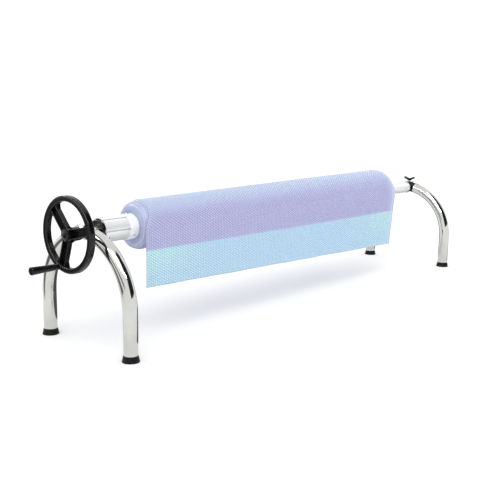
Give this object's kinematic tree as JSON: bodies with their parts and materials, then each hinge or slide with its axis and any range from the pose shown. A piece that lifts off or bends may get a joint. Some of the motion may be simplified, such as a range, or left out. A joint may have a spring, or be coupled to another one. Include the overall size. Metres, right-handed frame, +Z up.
{
  "type": "pool cover reel",
  "caption": "Pool cover reel with bent steel tube stands, a telescopic axle, a crank handwheel, a brake knob and a wound bubble cover with its end hanging.",
  "frame": {"origin": "on the floor, in the middle of the reel's length and width", "axes": "+X along the axle from the crank wheel's stand to the far stand, -Y the side on which the cover hangs, +Z up"},
  "size_m": [2.8616, 0.613, 0.643],
  "materials": {
    "polished_steel": "polished",
    "steel_parts": "satin",
    "black_plastic": "gloss",
    "black_rubber": "satin",
    "anodised_aluminium": "satin",
    "bush_plastic": "satin",
    "collar_plastic": "satin",
    "roll_film": "satin",
    "flap_film": "satin",
    "brass_insert": "satin"
  },
  "bodies": {
    "drive_stand": {"drive_crown": "polished_steel", "drive_leg_front": "polished_steel", "drive_leg_rear": "polished_steel", "drive_foot_front": "black_rubber", "drive_foot_rear": "black_rubber", "drive_leg_rings": "black_plastic", "drive_leg_screws": "steel_parts", "drive_bush_wheel": "bush_plastic", "drive_bush_axle": "bush_plastic"},
    "axle": {"drive_shaft": "steel_parts", "handwheel": "black_plastic", "wheel_washer": "steel_parts", "wheel_bolt": "steel_parts", "wheel_cap": "black_plastic", "wheel_set_screw": "steel_parts", "grip_pin": "steel_parts", "grip_nut": "steel_parts", "grip_retainer": "steel_parts", "axle_flange": "black_plastic", "flange_pin": "steel_parts", "flange_screws": "steel_parts", "main_tube": "anodised_aluminium", "tube_end_bush": "bush_plastic", "cover_collar": "collar_plastic", "collar_screws": "steel_parts", "edge_strip": "collar_plastic", "cover_roll": "roll_film"},
    "crank_grip": {"grip": "black_plastic", "grip_end_cap": "black_plastic"},
    "hanging_cover": {"cover_flap": "flap_film"},
    "far_stand": {"far_crown": "black_plastic", "far_leg_front": "polished_steel", "far_leg_rear": "polished_steel", "far_foot_front": "black_rubber", "far_foot_rear": "black_rubber", "far_leg_rings": "black_plastic", "far_leg_screws": "steel_parts", "far_bush_axle": "bush_plastic", "far_bush_outer": "bush_plastic", "brake_saddle": "black_plastic", "saddle_screws": "steel_parts", "brake_insert": "brass_insert"},
    "far_axle": {"far_tube": "anodised_aluminium", "far_slide_bush": "bush_plastic", "far_plug": "black_plastic", "far_plug_screws": "steel_parts", "far_shaft": "steel_parts", "far_shaft_pin": "steel_parts", "far_shaft_collar": "black_plastic", "far_shaft_cap": "black_plastic"},
    "brake_pad": {"brake_pad": "black_rubber"},
    "brake_knob": {"brake_stud": "steel_parts", "wing_knob": "black_plastic"}
  },
  "joints": [
    {"name": "axle_spin", "type": "hinge", "parent": "drive_stand", "child": "axle", "pos_m": [-1.1965, 0, 0.485], "axis": [1, 0, 0], "continuous": true},
    {"name": "grip_spin", "type": "hinge", "parent": "axle", "child": "crank_grip", "pos_m": [-1.3465, 0.04891, 0.35062], "axis": [1, 0, 0], "continuous": true},
    {"name": "cover_hang", "type": "hinge", "parent": "axle", "child": "hanging_cover", "pos_m": [0, 0, 0.485], "axis": [1, 0, 0], "continuous": true},
    {"name": "far_stand_slide", "type": "slide", "parent": "drive_stand", "child": "far_stand", "axis": [1, 0, 0], "range_m": [-0.29, 0.6]},
    {"name": "far_axle_spin", "type": "hinge", "parent": "far_stand", "child": "far_axle", "pos_m": [1.3735, 0, 0.485], "axis": [1, 0, 0], "continuous": true},
    {"name": "brake_pad_slide", "type": "slide", "parent": "far_stand", "child": "brake_pad", "axis": [0, 0, -1], "range_m": [0, 0.0024]},
    {"name": "brake_knob_turn", "type": "hinge", "parent": "brake_pad", "child": "brake_knob", "pos_m": [1.3735, 0, 0.525], "axis": [0, 0, -1], "range_deg": [0, 720]}
  ],
  "couplings": [
    {"joint": "cover_hang", "follows": "axle_spin", "ratio": -1},
    {"joint": "far_axle_spin", "follows": "axle_spin", "ratio": 1},
    {"joint": "brake_pad_slide", "follows": "brake_knob_turn", "m_per_rad": 0.00019098}
  ]
}
